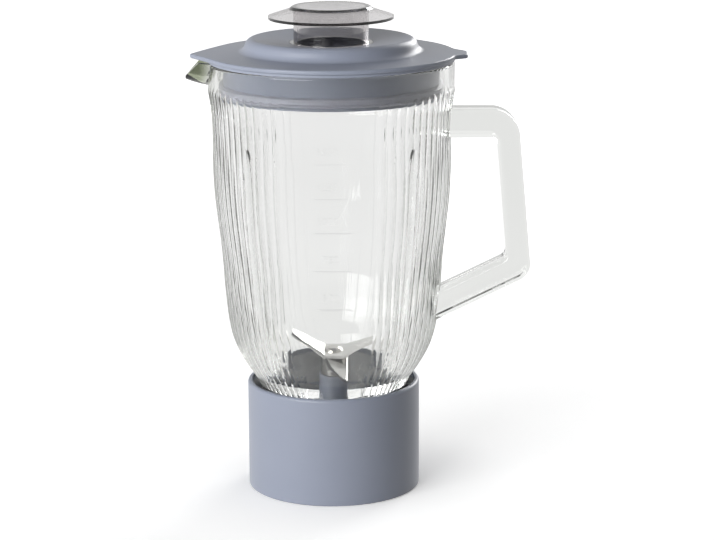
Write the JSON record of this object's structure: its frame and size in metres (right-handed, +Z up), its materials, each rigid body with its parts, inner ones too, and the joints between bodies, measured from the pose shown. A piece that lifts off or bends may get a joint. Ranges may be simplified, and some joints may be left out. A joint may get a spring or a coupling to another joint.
{
  "type": "blender jar",
  "caption": "Fluted glass blender jar with moulded handle and pouring spout, lid with measuring cap, screw-on base collar and a turning blade unit.",
  "frame": {"origin": "centre of the base collar's foot, on the surface that the jar stands on", "axes": "+Z up along the jar's axis, +X towards the handle, -X towards the spout, -Y towards the panel with the scale"},
  "size_m": [0.1984, 0.144, 0.2832],
  "materials": {
    "glass": "pressed clear soda-lime glass with a faint green edge",
    "blue_grey_plastic": "moulded satin plastic",
    "smoky_plastic": "clear smoke-tinted plastic",
    "grey_silicone": "soft moulded silicone",
    "black_rubber": "matt rubber",
    "sintered_bronze": "sintered, oil-soaked",
    "felt": "pressed wool felt",
    "steel": "satin stainless steel",
    "dark_plastic": "moulded glass-filled plastic"
  },
  "bodies": {
    "jar": {"glass_jar": "glass", "collar": "blue_grey_plastic", "blade_holder": "blue_grey_plastic", "jar_gasket": "black_rubber", "upper_bush": "sintered_bronze", "lower_bush": "sintered_bronze", "oil_felt": "felt", "shaft_seal": "black_rubber", "lid": "blue_grey_plastic", "lid_seal": "grey_silicone", "measuring_cap": "smoky_plastic"},
    "rotor": {"drive_shaft": "steel", "blade_sleeve": "steel", "lower_blade": "steel", "upper_blade": "steel", "thrust_washer": "steel", "shaft_clip": "steel", "drive_coupling": "dark_plastic", "coupling_washer": "steel", "coupling_nut": "steel"}
  },
  "joints": [
    {"name": "blade_spin", "type": "hinge", "parent": "jar", "child": "rotor", "pos_m": [0, 0, 0.05], "axis": [0, 0, 1], "continuous": true}
  ]
}
